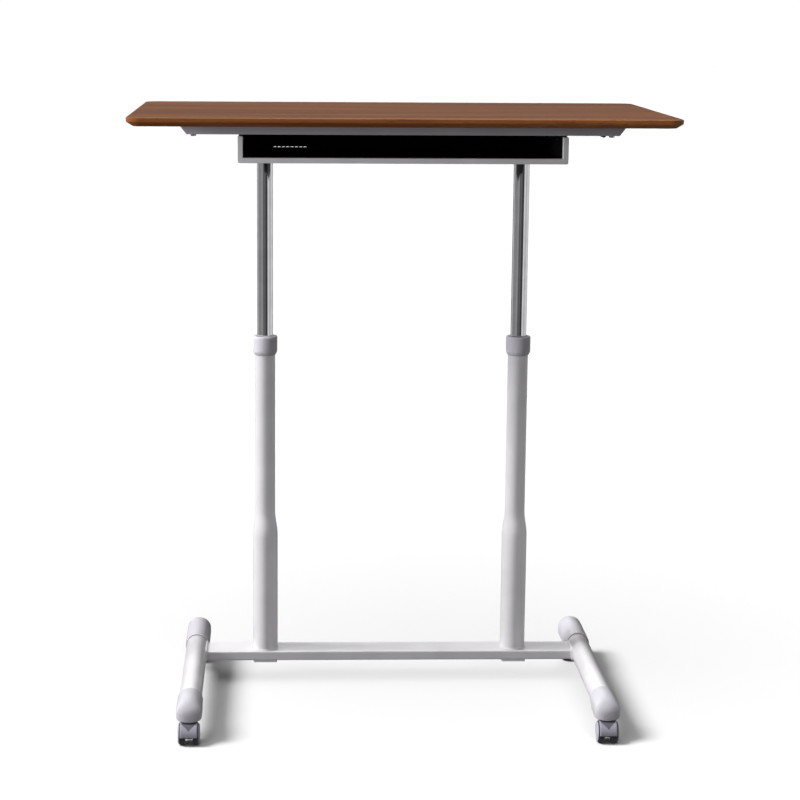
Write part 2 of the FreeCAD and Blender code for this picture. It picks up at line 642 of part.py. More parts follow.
def cap_form(side, seam, way, length, inset):
    """Hoof-like solid: a section, a plan and a side outline, each pushed through the others.

    way is -1 for a cap that points to the user and 1 for one that points away.
    """
    x = side * FOOT_X
    half = CAP_HALF - inset
    top = FOOT_Z + half
    under = CAP_UNDER - (inset > 0) * 10
    tip = length - inset

    def at(distance, z):
        return V(x - 30, seam + way * distance, z)

    y_low = min(seam, seam + way * length) - 1
    section = outline([
        line(V(x - half, y_low, FOOT_Z), V(x - half, y_low, under - 6)),
        line(V(x - half, y_low, under - 6), V(x + half, y_low, under - 6)),
        line(V(x + half, y_low, under - 6), V(x + half, y_low, FOOT_Z)),
        arc(V(x + half, y_low, FOOT_Z), V(x, y_low, top), V(x - half, y_low, FOOT_Z)),
    ], V(0, length + 2, 0))
    corner = 19.0 - inset
    bulge = corner * (1 - cos(pi / 4))
    y0 = seam
    y1 = seam + way * (tip - corner)
    y2 = seam + way * tip
    plan = outline([
        line(V(x - half, y0, 0), V(x - half, y1, 0)),
        arc(V(x - half, y1, 0), V(x - half + bulge, y2 - way * bulge, 0), V(x - half + corner, y2, 0)),
        line(V(x - half + corner, y2, 0), V(x + half - corner, y2, 0)),
        arc(V(x + half - corner, y2, 0), V(x + half - bulge, y2 - way * bulge, 0), V(x + half, y1, 0)),
        line(V(x + half, y1, 0), V(x + half, y0, 0)),
        line(V(x + half, y0, 0), V(x - half, y0, 0)),
    ], V(0, 0, 120))
    shoulder = tip - (46.0 if way < 0 else 24.0)
    nose_z = FOOT_Z - 5.0
    crown_z = nose_z + (top - nose_z) * 0.72
    step = CAP_OVERLAP - 5.0
    skirt = under - 5.0
    profile = outline([
        line(at(0, top), at(shoulder, top)),
        arc(at(shoulder, top), at(tip - (tip - shoulder) * 0.3, crown_z), at(tip, nose_z)),
        arc(at(tip, nose_z), at(tip - 1.0, (nose_z + under) / 2), at(tip - 5, under)),
        line(at(tip - 5, under), at(step, under)),
        line(at(step, under), at(step, skirt)),
        line(at(step, skirt), at(0, skirt)),
        line(at(0, skirt), at(0, top)),
    ], V(60, 0, 0))
    return section.common(plan).common(profile)


def foot_cap(side, seam, way, length, stem_y):
    """Plastic cap with a sleeve for the foot tube and a boss for the castor socket."""
    x = side * FOOT_X
    body = cap_form(side, seam, way, length, 0.0)
    tube_end = seam + way * CAP_OVERLAP
    body = body.cut(bar(FOOT_R + 0.05, V(x, min(seam, tube_end), FOOT_Z), ALONG_Y, CAP_OVERLAP))
    hollow = cap_form(side, seam, way, length, 2.8)
    wall = tube_end + way * 2.5
    far = seam + way * length
    keep = block(x - 40, x + 40, min(wall, far), max(wall, far), 0, 120)
    boss = bar(11.0, V(x, stem_y, CAP_UNDER), ALONG_Z, 60)
    body = body.cut(hollow.common(keep).cut(boss))
    body = body.cut(bar(8.02, V(x, stem_y, CAP_UNDER - 1), ALONG_Z, 34))
    return max(body.Solids, key=lambda s: s.Volume)


def caster_socket(x, y):
    profile = [
        (5.5 + RUNNING, CAP_UNDER - 0.5), (10, CAP_UNDER - 0.5), (10, CAP_UNDER),
        (8, CAP_UNDER), (8, 76), (5.5 + RUNNING, 76),
    ]
    return revolve_z(profile, x, y)


# ---- castors ------------------------------------------------------------------------------


def caster_hood(x, y):
    """Swivelling body: centre web, fender over both wheels and stem boss."""
    axle_y = y - CASTER_TRAIL
    fender_in = WHEEL_R + HOOD_GAP
    fender_out = CAP_UNDER - 1.4 - WHEEL_R
    centre = V(x, axle_y, WHEEL_R)
    fender = ring(fender_out, fender_in, centre - ALONG_X * 16, ALONG_X, 32)
    fender = fender.cut(block(x - 20, x + 20, axle_y - 30, axle_y + 30, -5, 18))
    fender = fender.cut(block(x - 20, x + 20, axle_y, axle_y + 30, -5, 27))
    web = bar(fender_in + 0.5, centre - ALONG_X * 6.4, ALONG_X, 12.8)
    web = web.cut(block(x - 20, x + 20, axle_y - 30, axle_y + 30, -5, 11))
    boss = bar(9.0, V(x, y, 24), ALONG_Z, WHEEL_R + fender_out - 24)
    rib = block(x - 6.4, x + 6.4, axle_y, y + 7, 24, WHEEL_R + fender_out)
    body = fender.fuse(web).fuse(boss).fuse(rib)
    for start in (x + 6.4, x - 26.4):
        body = body.cut(bar(fender_in, V(start, axle_y, WHEEL_R), ALONG_X, 20))
    body = body.removeSplitter()
    body = body.cut(bar(3.0, centre - ALONG_X * 20, ALONG_X, 40))
    body = body.cut(bar(4.0, V(x, y, 27), ALONG_Z, 20))
    return max(body.Solids, key=lambda s: s.Volume)


def caster_stem(x, y):
    """Steel stem that turns in the socket."""
    profile = [(0, 27), (4, 27), (4, 42.1), (5.5, 42.1), (5.5, 74), (4.8, 75), (0, 75)]
    return revolve_z(profile, x, y)


def caster_axle(x, y):
    return bar(3.0, V(x - 18.5, y - CASTER_TRAIL, WHEEL_R), ALONG_X, 37)


def caster_wheel(x, y, way):
    """Wheel on one side of the web: broad tread inside, smaller dished disc outside."""
    bore = 3.0 + RUNNING
    tread_end = 16.4
    profile = [
        (bore, WHEEL_INNER), (WHEEL_R - 1.2, WHEEL_INNER), (WHEEL_R, WHEEL_INNER + 1.2),
        (WHEEL_R, tread_end - 0.8), (WHEEL_R - 0.8, tread_end), (WHEEL_R - 0.8, tread_end + 1.2),
        (WHEEL_R - 3.0, WHEEL_OUTER), (6.0, WHEEL_OUTER), (5.0, WHEEL_OUTER - 0.6), (0, WHEEL_OUTER - 0.6),
        (0, 18.6), (bore, 18.6),
    ]
    solid = revolve_x([(r, x + way * across) for r, across in profile], y - CASTER_TRAIL, WHEEL_R)
    return solid


# ---- write every piece --------------------------------------------------------------------
os.makedirs("parts", exist_ok=True)

save("tabletop", tabletop())
save("front_rail", rail(-1))
save("rear_rail", rail(1))
save("tray_shell", tray_shell())
save("tray_bezel", tray_bezel())
save("tray_hangers", *[tray_hanger(side, y) for side in (-1, 1) for y in HANGER_Y])
save("frame_screws", *frame_screws())
save("tabletop_screws", *[screw(V(x, y, FRAME_UNDER), ALONG_Z, 2.25, 27.0, 5.0, 3.6) for x, y in TOP_SCREWS])
save("leg_sockets", leg_socket(-1), leg_socket(1))
save("tube_stop_rings", stop_ring(-1), stop_ring(1))
save("rod_nuts", rod_nut(-1), rod_nut(1))
save("release_brackets", release_bracket(-1), release_bracket(1))
save("rocker_pins", rocker_pin(-1), rocker_pin(1))
save("lever_housing", lever_housing())
save("lever_pin", lever_pin())
save("release_lever", release_lever())
save("release_cables", *[cable(points) for points in CABLE_ROUTES.values()])
save("cable_clips", *[cable_clip(route, run) for route, run in CLIPS])
save("crossbar", crossbar())
save("column_base_plates", column_plate(-1), column_plate(1))
save("base_bolts", *[base_bolt(side, y) for side in (-1, 1) for y in BOLT_Y])
save("caster_sockets", *[caster_socket(x, y) for x, y in CASTERS.values()])

for name, side in SIDES.items():
    save("frame_arm_" + name, arm(side))
    save("column_" + name, column(side))
    save("column_collar_" + name, column_collar(side))
    save("chrome_tube_" + name, chrome_tube(side))
    save("gas_cylinder_" + name, gas_cylinder(side))
    save("gas_rod_" + name, gas_rod(side))
    save("valve_pin_" + name, valve_pin(side))
    save("valve_rocker_" + name, valve_rocker(side))
    save("foot_tube_" + name, foot_tube(side))
    save("front_foot_cap_" + name, foot_cap(side, FRONT_SEAM, -1, FRONT_CAP_LENGTH, STEM_FRONT_Y))
    save("rear_foot_cap_" + name, foot_cap(side, REAR_SEAM, 1, REAR_CAP_LENGTH, STEM_REAR_Y))

for name, (x, y) in CASTERS.items():
    save("caster_hood_" + name, caster_hood(x, y))
    save("caster_spindle_" + name, caster_stem(x, y), caster_axle(x, y))
    save("caster_wheel_a_" + name, caster_wheel(x, y, -1))
    save("caster_wheel_b_" + name, caster_wheel(x, y, 1))
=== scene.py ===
"""Looks of the mobile sit-stand desk: meshes, materials, floor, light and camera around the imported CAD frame."""
import json
import math

import bmesh
import bpy
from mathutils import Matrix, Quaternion, Vector, noise

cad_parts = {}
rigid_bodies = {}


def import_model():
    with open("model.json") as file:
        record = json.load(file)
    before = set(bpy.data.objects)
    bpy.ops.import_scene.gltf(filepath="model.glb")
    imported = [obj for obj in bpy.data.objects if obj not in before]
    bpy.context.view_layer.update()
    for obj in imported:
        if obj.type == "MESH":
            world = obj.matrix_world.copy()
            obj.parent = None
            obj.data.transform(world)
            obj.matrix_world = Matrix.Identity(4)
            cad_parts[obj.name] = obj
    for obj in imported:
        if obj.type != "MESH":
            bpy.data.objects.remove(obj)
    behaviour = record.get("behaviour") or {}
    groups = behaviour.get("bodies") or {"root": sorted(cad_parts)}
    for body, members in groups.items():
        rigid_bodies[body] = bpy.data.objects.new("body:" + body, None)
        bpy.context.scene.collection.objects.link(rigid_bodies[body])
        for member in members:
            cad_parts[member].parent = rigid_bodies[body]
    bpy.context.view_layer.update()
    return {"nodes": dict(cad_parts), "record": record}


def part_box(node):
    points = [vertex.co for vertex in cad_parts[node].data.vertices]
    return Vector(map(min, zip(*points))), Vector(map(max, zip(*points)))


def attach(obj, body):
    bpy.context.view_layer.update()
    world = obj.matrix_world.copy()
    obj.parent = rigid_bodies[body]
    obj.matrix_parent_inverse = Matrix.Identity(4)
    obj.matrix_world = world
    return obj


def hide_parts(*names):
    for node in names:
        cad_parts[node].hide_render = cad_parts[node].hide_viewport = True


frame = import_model()

MM = 0.001
TAU = 2 * math.pi
SIDES = {"left": -1, "right": 1}
CORNERS = ("front_left", "front_right", "rear_left", "rear_right")

# ---- small mesh kit -----------------------------------------------------------------------


def centre_of(node):
    low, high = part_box(node)
    return (low + high) / 2


def piece(name, verts, faces, material, body, nodes=(), smooth=35):
    """New mesh object in the row frame that rides on a body and may stand for CAD nodes."""
    mesh = bpy.data.meshes.new(name)
    mesh.from_pydata([tuple(v) for v in verts], [], faces)
    mesh.validate()
    shape = bmesh.new()
    shape.from_mesh(mesh)
    bmesh.ops.recalc_face_normals(shape, faces=shape.faces)
    shape.to_mesh(mesh)
    shape.free()
    mesh.materials.append(material)
    obj = bpy.data.objects.new(name, mesh)
    bpy.context.scene.collection.objects.link(obj)
    mesh.shade_smooth()
    mesh.set_sharp_from_angle(angle=math.radians(smooth))
    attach(obj, body)
    if nodes:
        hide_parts(*nodes)
    return obj


def bevelled(obj, width, segments=3, angle=40):
    mod = obj.modifiers.new("edges", "BEVEL")
    mod.width = width
    mod.segments = segments
    mod.limit_method = "ANGLE"
    mod.angle_limit = math.radians(angle)
    mod.harden_normals = False
    return obj


def thickened(obj, thickness):
    mod = obj.modifiers.new("wall", "SOLIDIFY")
    mod.thickness = thickness
    mod.offset = -1
    mod.use_even_offset = True
    return obj


def loft(rings, closed_run=False, cap_start=False, cap_end=False):
    """Vertices and faces of a skin through equal rings of points."""
    verts = [p for r in rings for p in r]
    count = len(rings[0])
    faces = []
    last = len(rings) if closed_run else len(rings) - 1
    for i in range(last):
        a = i * count
        b = ((i + 1) % len(rings)) * count
        for k in range(count):
            n = (k + 1) % count
            faces.append((a + k, a + n, b + n, b + k))
    if cap_start:
        faces.append(tuple(range(count)))
    if cap_end:
        base = (len(rings) - 1) * count
        faces.append(tuple(base + k for k in reversed(range(count))))
    return verts, faces


def turned(profile, origin, axis, segments=64, closed=True):
    """Turn a closed outline of (radius, distance along the axis) about that axis."""
    spin = Vector((0, 0, 1)).rotation_difference(axis)
    rings = []
    for r, d in profile:
        ring = [Vector((r * math.cos(TAU * k / segments), r * math.sin(TAU * k / segments), d))
                for k in range(segments)]
        rings.append([origin + spin @ p for p in ring])
    return loft(rings, closed_run=closed)


def softened(profile, radius, steps=3):
    """Round every corner of a closed (r, d) outline by a small radius."""
    out = []
    count = len(profile)
    for i, corner in enumerate(profile):
        here = Vector(corner)
        before = Vector(profile[i - 1]) - here
        after = Vector(profile[(i + 1) % count]) - here
        reach = min(radius, before.length * 0.45, after.length * 0.45)
        first = here + before.normalized() * reach
        last = here + after.normalized() * reach
        for s in range(steps + 1):
            t = s / steps
            out.append((first * (1 - t) ** 2 + here * 2 * t * (1 - t) + last * t ** 2)[:])
    return out


def rounded_outline(half_x, half_y, radius, steps=10):
    """Points of a rounded rectangle about the origin, anticlockwise."""
    points = []
    for quarter, (sx, sy) in enumerate(((1, 1), (-1, 1), (-1, -1), (1, -1))):
        for s in range(steps + 1):
            a = (quarter + s / steps) * math.pi / 2
            points.append((sx * (half_x - radius) + radius * math.cos(a),
                           sy * (half_y - radius) + radius * math.sin(a)))
    return points


def smoothstep(t):
    t = min(max(t, 0.0), 1.0)
    return t * t * (3 - 2 * t)


# ---- materials ----------------------------------------------------------------------------


# Sockets of a Mix node set to colours: its value and vector sockets come first.
MIX_FACTOR, RGBA_A, RGBA_B, RGBA_RESULT = 0, 6, 7, 2


class Shader:
    """A Principled material with a few helpers for procedural colour, roughness and bump."""

    def __init__(self, name, **values):
        self.material = bpy.data.materials.new(name)
        self.material.use_nodes = True
        self.tree = self.material.node_tree
        self.bsdf = self.tree.nodes["Principled BSDF"]
        for key, value in values.items():
            self.bsdf.inputs[key.replace("_", " ")].default_value = value
        self.place = self.add("ShaderNodeTexCoord").outputs["Object"]

    def add(self, kind, **settings):
        made = self.tree.nodes.new(kind)
        for key, value in settings.items():
            setattr(made, key, value)
        return made

    def link(self, a, b):
        self.tree.links.new(a, b)

    def stretch(self, scale):
        mapping = self.add("ShaderNodeMapping")
        mapping.inputs["Scale"].default_value = scale
        self.link(self.place, mapping.inputs["Vector"])
        return mapping.outputs["Vector"]

    def noise(self, scale, detail=4.0, vector=None, distortion=0.0, roughness=0.5):
        made = self.add("ShaderNodeTexNoise")
        made.inputs["Scale"].default_value = scale
        made.inputs["Detail"].default_value = detail
        made.inputs["Distortion"].default_value = distortion
        made.inputs["Roughness"].default_value = roughness
        self.link(vector or self.place, made.inputs["Vector"])
        return made.outputs["Fac"]

    def ramp(self, factor, stops):
        made = self.add("ShaderNodeValToRGB")
        elements = made.color_ramp.elements
        while len(elements) < len(stops):
            elements.new(0.5)
        for element, (at, colour) in zip(elements, stops):
            element.position = at
            element.color = (*colour, 1.0)
        self.link(factor, made.inputs["Fac"])
        return made.outputs["Color"]

    def span(self, factor, low, high, from_low=0.0, from_high=1.0):
        made = self.add("ShaderNodeMapRange")
        for key, value in (("From Min", from_low), ("From Max", from_high), ("To Min", low), ("To Max", high)):
            made.inputs[key].default_value = value
        self.link(factor, made.inputs["Value"])
        return made.outputs["Result"]

    def mix(self, factor, a, b):
        made = self.add("ShaderNodeMix", data_type="RGBA")
        for socket, value in ((MIX_FACTOR, factor), (RGBA_A, a), (RGBA_B, b)):
            if isinstance(value, tuple):
                made.inputs[socket].default_value = value
            else:
                self.link(value, made.inputs[socket])
        return made.outputs[RGBA_RESULT]

    def bump(self, height, strength, distance):
        made = self.add("ShaderNodeBump")
        made.inputs["Strength"].default_value = strength
        made.inputs["Distance"].default_value = distance
        self.link(height, made.inputs["Height"])
        self.link(made.outputs["Normal"], self.bsdf.inputs["Normal"])

    def feed(self, socket, value):
        self.link(value, self.bsdf.inputs[socket])


def paint(name, colour, roughness, metallic=0.0, specular=0.5, texture=0.00004, grain=900.0, variation=0.06):
    """Powder coat: fine orange peel and slight unevenness of gloss and tone."""
    shader = Shader(name, Roughness=roughness, Metallic=metallic, Specular_IOR_Level=specular)
    cloud = shader.noise(14.0, 3.0)
    low = tuple(c * (1 - variation) for c in colour)
    high = tuple(min(c * (1 + variation), 1.0) for c in colour)
    shader.feed("Base Color", shader.ramp(cloud, [(0.3, low), (0.7, high)]))
    peel = shader.noise(grain, 2.0)
    shader.feed("Roughness", shader.span(peel, roughness * 0.85, roughness * 1.2))
    shader.bump(peel, 0.35, texture)
    return shader.material


def plastic(name, colour, roughness, specular=0.5, grain=1500.0, depth=0.00006, strength=0.4, variation=0.04,
            translucent=0.0):
    """Moulded plastic with a spark-eroded texture and faint flow marks."""
    shader = Shader(name, Roughness=roughness, Specular_IOR_Level=specular, Subsurface_Weight=translucent)
    shader.bsdf.inputs["Subsurface Radius"].default_value = (1.0, 0.95, 0.95)
    shader.bsdf.inputs["Subsurface Scale"].default_value = 0.012
    flow = shader.noise(9.0, 2.0, shader.stretch((1.0, 0.35, 1.0)))
    low = tuple(c * (1 - variation) for c in colour)
    high = tuple(min(c * (1 + variation), 1.0) for c in colour)
    shader.feed("Base Color", shader.ramp(flow, [(0.35, low), (0.65, high)]))
    pits = shader.noise(grain, 3.0)
    shader.feed("Roughness", shader.span(pits, roughness * 0.85, roughness * 1.15))
    shader.bump(pits, strength, depth)
    return shader.material


def metal(name, colour, roughness, stretch, depth=0.00002):
    """Bare or plated metal with faint drawing lines along one axis."""
    shader = Shader(name, Metallic=1.0, Roughness=roughness)
    lines = shader.noise(400.0, 2.0, shader.stretch(stretch))
    stain = shader.noise(30.0, 4.0)
    low = tuple(c * 0.9 for c in colour)
    shader.feed("Base Color", shader.ramp(stain, [(0.3, low), (0.6, colour)]))
    shader.feed("Roughness", shader.span(lines, roughness * 0.7, roughness * 1.5))
    shader.bump(lines, 0.1, depth)
    return shader.material


def wood(name):
    """Reddish-brown veneer under satin lacquer, grain along X."""
    shader = Shader(name, Roughness=0.18, Specular_IOR_Level=0.10)
    bands = shader.noise(3.2, 3.0, shader.stretch((0.3, 5.0, 5.0)), distortion=0.3)
    long_grain = shader.stretch((1.6, 26.0, 26.0))
    figure = shader.noise(3.2, 6.0, long_grain, distortion=0.5, roughness=0.6)
    fibre = shader.noise(30.0, 4.0, shader.stretch((2.2, 34.0, 34.0)), roughness=0.7)
    pores = shader.noise(55.0, 2.0, shader.stretch((1.0, 14.0, 14.0)), roughness=0.4)
    base = shader.ramp(figure, [
        (0.30, (0.185, 0.057, 0.0140)),
        (0.44, (0.290, 0.101, 0.0270)),
        (0.56, (0.335, 0.122, 0.0340)),
        (0.72, (0.220, 0.071, 0.0180)),
    ])
    toned = shader.mix(shader.span(bands, 0.0, 0.95, 0.42, 0.62), base, (0.165, 0.050, 0.0125, 1.0))
    fibred = shader.mix(shader.span(fibre, 0.0, 0.5, 0.45, 0.8), toned, (0.130, 0.036, 0.0120, 1.0))
    dark = shader.mix(shader.span(pores, 0.0, 0.75, 0.62, 0.72), fibred, (0.060, 0.016, 0.0060, 1.0))
    shader.feed("Base Color", dark)
    shader.feed("Roughness", shader.span(fibre, 0.14, 0.24))
    shader.bump(pores, 0.12, 0.00008)
    return shader.material


WOOD = wood("wood_veneer")
SILVER = paint("silver_powder_coat", (0.69, 0.675, 0.695), 0.36, metallic=0.30)
# Rails and arms wear the legs' silver paint; this copy is darkened to paint in the shade they lie in under the
# desktop.
SHADE_DARKENED_SILVER = paint("silver_coat_with_painted_shade", (0.37, 0.36, 0.385), 0.42)
BEZEL_GREY = paint("bezel_grey_powder_coat", (0.61, 0.60, 0.62), 0.40)
TRAY_BLACK = paint("tray_black_powder_coat", (0.006, 0.006, 0.0065), 0.55, specular=0.15)
GAS_BLACK = paint("gas_black_paint", (0.02, 0.02, 0.02), 0.3)
CHROME = metal("polished_chrome", (0.90, 0.90, 0.93), 0.06, (1.0, 1.0, 0.01))
STEEL = metal("zinc_plated_steel", (0.62, 0.62, 0.63), 0.32, (1.0, 1.0, 0.2))
CAP_PLASTIC = plastic("cap_pale_plastic", (0.515, 0.495, 0.545), 0.42, specular=0.9, translucent=0.8)
HOOD_PLASTIC = plastic("castor_grey_plastic", (0.29, 0.28, 0.33), 0.32, strength=0.25)
# Dark plastic that paints in shade: the foot cap's shadow on the top of the castor hood, and the shaded recess
# between the wheels.
SHADE_DARK_PLASTIC = plastic("castor_facet_plastic", (0.105, 0.10, 0.125), 0.40, strength=0.25)
DISC_PLASTIC = plastic("castor_disc_plastic", (0.42, 0.41, 0.46), 0.35, strength=0.25)
TREAD = plastic("castor_dark_tread", (0.035, 0.034, 0.042), 0.45)
DARK_PLASTIC = plastic("dark_moulded_plastic", (0.03, 0.03, 0.033), 0.45)
SHEATH = plastic("cable_sheath", (0.022, 0.022, 0.024), 0.35, grain=2500.0, strength=0.15)

CAD_LOOKS = {
    "silver_paint": SILVER,
    "frame_paint": SHADE_DARKENED_SILVER,
    "tray_black": TRAY_BLACK,
    "bezel_grey": BEZEL_GREY,
    "chrome": CHROME,
    "light_plastic": CAP_PLASTIC,
    "caster_body": HOOD_PLASTIC,
    "caster_tread": TREAD,
    "bright_steel": STEEL,
    "gas_black": GAS_BLACK,
    "dark_plastic": DARK_PLASTIC,
    "cable_sheath": SHEATH,
    "wood_top": WOOD,
}


def dress_cad_nodes():
    for part in frame["record"]["subparts"]:
        slots = frame["nodes"][part["node"]].data.materials
        look = CAD_LOOKS[part["material_slot"]]
        for index in range(len(slots)):
            slots[index] = look
        if not slots:
            slots.append(look)


# ---- desktop ------------------------------------------------------------------------------
TOP_CORNER = 25 * MM                    # radius of the board's corners in plan
TOP_BAND = 7.6 * MM                     # upright part of its edge
TOP_BEVEL = 12 * MM                     # how far the underside is cut back
TOP_SOFT = 1.4 * MM                     # rounding of the edge


def desktop():
    low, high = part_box("tabletop")
    half = (high - low) / 2
    soft = TOP_SOFT
    edge_z = high.z - TOP_BAND
    slope = (low.z - edge_z) / TOP_BEVEL
    levels = []
    for s in range(5):
        a = s / 4 * math.pi / 2
        levels.append((soft * (1 - math.sin(a)), high.z - soft * (1 - math.cos(a))))
    levels.append((0.0, edge_z + 0.9 * soft))
    levels.append((0.0, edge_z + 0.35 * soft))
    levels.append((0.5 * soft, edge_z + slope * 0.5 * soft))
    levels.append((TOP_BEVEL - soft, low.z - slope * soft))
    levels.append((TOP_BEVEL - 0.3 * soft, low.z + 0.12 * soft))
    levels.append((TOP_BEVEL + 0.5 * soft, low.z))
    rings = []
    for inset, z in levels:
        radius = max(TOP_CORNER - inset, 2 * MM)
        rings.append([Vector((x, y, z)) for x, y in
                      rounded_outline(half.x - inset, half.y - inset, radius)])
    verts, faces = loft(rings, cap_start=True, cap_end=True)
    return piece("desktop_board", verts, faces, WOOD, "top", ["tabletop"], smooth=30)


# ---- legs ---------------------------------------------------------------------------------
COLUMN_WALL = 1.6 * MM
COLUMN_R = 19.05 * MM                   # round upper part
SWAGE_TOP = 343 * MM
SWAGE_BOTTOM = 295 * MM
GUIDE_BORE = 15.05 * MM                 # collar bore that the sliding tube runs in
GUIDE_SLEEVE = 17.3 * MM                # outside of the collar's sleeve within the column
TUBE_WALL = 1.5 * MM


def column(side):
    node = "column_" + side
    low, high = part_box(node)
    middle = centre_of(node)
    oval = ((high.x - low.x) / 2, (high.y - low.y) / 2)
    segments = 96

    def ring(z, inset, flare=0.0):
        blend = smoothstep((z - SWAGE_BOTTOM) / (SWAGE_TOP - SWAGE_BOTTOM))
        hx = oval[0] + blend * (COLUMN_R - oval[0]) - inset + flare
        hy = oval[1] + blend * (COLUMN_R - oval[1]) - inset + flare
        return [Vector((middle.x + hx * math.cos(TAU * k / segments),
                        middle.y + hy * math.sin(TAU * k / segments), z)) for k in range(segments)]

    swage = [SWAGE_BOTTOM + s / 12 * (SWAGE_TOP - SWAGE_BOTTOM) for s in range(13)]
    heights = [low.z + 4 * MM, 0.17] + swage + [0.5, high.z]
    outer = [ring(low.z + 0.3 * MM, 0, 1.6 * MM), ring(low.z + 1.2 * MM, 0, 1.1 * MM),
             ring(low.z + 2.4 * MM, 0, 0.3 * MM)]
    outer += [ring(z, 0) for z in heights]
    inner = [ring(z, COLUMN_WALL) for z in reversed(heights)]
    inner.append(ring(low.z + 0.3 * MM, COLUMN_WALL))
    verts, faces = loft(outer + inner, closed_run=True)
    return piece("leg_column_" + side, verts, faces, SILVER, "base", [node], smooth=50)


def collar(side):
    node = "column_collar_" + side
    low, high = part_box(node)
    middle = centre_of(node)
    outer = (high.x - low.x) / 2
    bore = GUIDE_BORE
    skirt = high.z - 36.5 * MM
    step = high.z - 7.5 * MM
    profile = [
        (COLUMN_R + 0.05 * MM, skirt), (COLUMN_R + 0.9 * MM, skirt),
        (outer - 1.2 * MM, skirt + 4.2 * MM), (outer, skirt + 7 * MM),
        (outer, high.z - 1.6 * MM), (outer - 1.6 * MM, high.z),
        (bore + 2.6 * MM, high.z), (bore + 1.4 * MM, high.z - 1.3 * MM), (bore, high.z - 1.8 * MM),
        (bore, low.z), (GUIDE_SLEEVE, low.z), (GUIDE_SLEEVE, step), (COLUMN_R + 0.05 * MM, step),
    ]
    origin = Vector((middle.x, middle.y, 0))
    verts, faces = turned(softened(profile, 0.9 * MM), origin, Vector((0, 0, 1)), 96)
    return piece("leg_collar_" + side, verts, faces, CAP_PLASTIC, "base", [node])


def sliding_tube(side):
    node = "chrome_tube_" + side
    low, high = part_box(node)
    middle = centre_of(node)
    outer = (high.x - low.x) / 2
    inner = outer - TUBE_WALL
    profile = [(outer, low.z), (outer, high.z), (inner, high.z), (inner, low.z)]
    origin = Vector((middle.x, middle.y, 0))
    verts, faces = turned(softened(profile, 0.3 * MM, 2), origin, Vector((0, 0, 1)), 128)
    return piece("leg_tube_" + side, verts, faces, CHROME, "top", [node], smooth=50)


# ---- base ---------------------------------------------------------------------------------
FOOT_WALL = 2.5 * MM
CAP_RIM = 43 * MM                       # height of a cap's lower rim over the floor
CAP_SLEEVE = 19 * MM                    # length that grips the foot tube
CAP_NOSE = 17 * MM
CAP_FALL = {"front": 46 * MM, "rear": 26 * MM}      # length over which the crown drops
CAP_WALL = 2.4 * MM
STEM_R = 5.5 * MM                       # castor stem


def foot_tube(side):
    node = "foot_tube_" + side
    low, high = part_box(node)
    middle = centre_of(node)
    outer = (high.x - low.x) / 2
    inner = outer - FOOT_WALL
    profile = [(outer, low.y), (outer, high.y), (inner, high.y), (inner, low.y)]
    origin = Vector((middle.x, 0, middle.z))
    verts, faces = turned(softened(profile, 0.4 * MM, 2), origin, Vector((0, 1, 0)), 96)
    return piece("foot_rail_" + side, verts, faces, SILVER, "base", [node], smooth=50)


def weld_bead(side):
    """Ground fillet where the crossbar runs into the foot tube."""
    sign = SIDES[side]
    bar_low, bar_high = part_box("crossbar")
    tube = centre_of("foot_tube_" + side)
    low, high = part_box("foot_tube_" + side)
    radius = (high.x - low.x) / 2
    half_y = (bar_high.y - bar_low.y) / 2
    half_z = (bar_high.z - bar_low.z) / 2
    middle = (bar_low + bar_high) / 2
    path = []
    for u, w in rounded_outline(half_y, half_z, 2.5 * MM, 6):
        z = middle.z + w
        reach = math.sqrt(radius ** 2 - (z - tube.z) ** 2)
        path.append(Vector((tube.x - sign * reach, middle.y + u, z)))
    rings = []
    count = len(path)
    for i, point in enumerate(path):
        ahead = (path[(i + 1) % count] - path[i - 1]).normalized()
        side_way = Vector((sign, 0, 0)).cross(ahead).normalized()
        up_way = ahead.cross(side_way).normalized()
        size = (3.6 + 0.3 * noise.noise(point * 300)) * MM
        rings.append([point + size * (math.cos(TAU * k / 12) * side_way + math.sin(TAU * k / 12) * up_way)
                      for k in range(12)])
    verts, faces = loft(rings, closed_run=True)
    return piece("foot_weld_" + side, verts, faces, SILVER, "base", smooth=80)


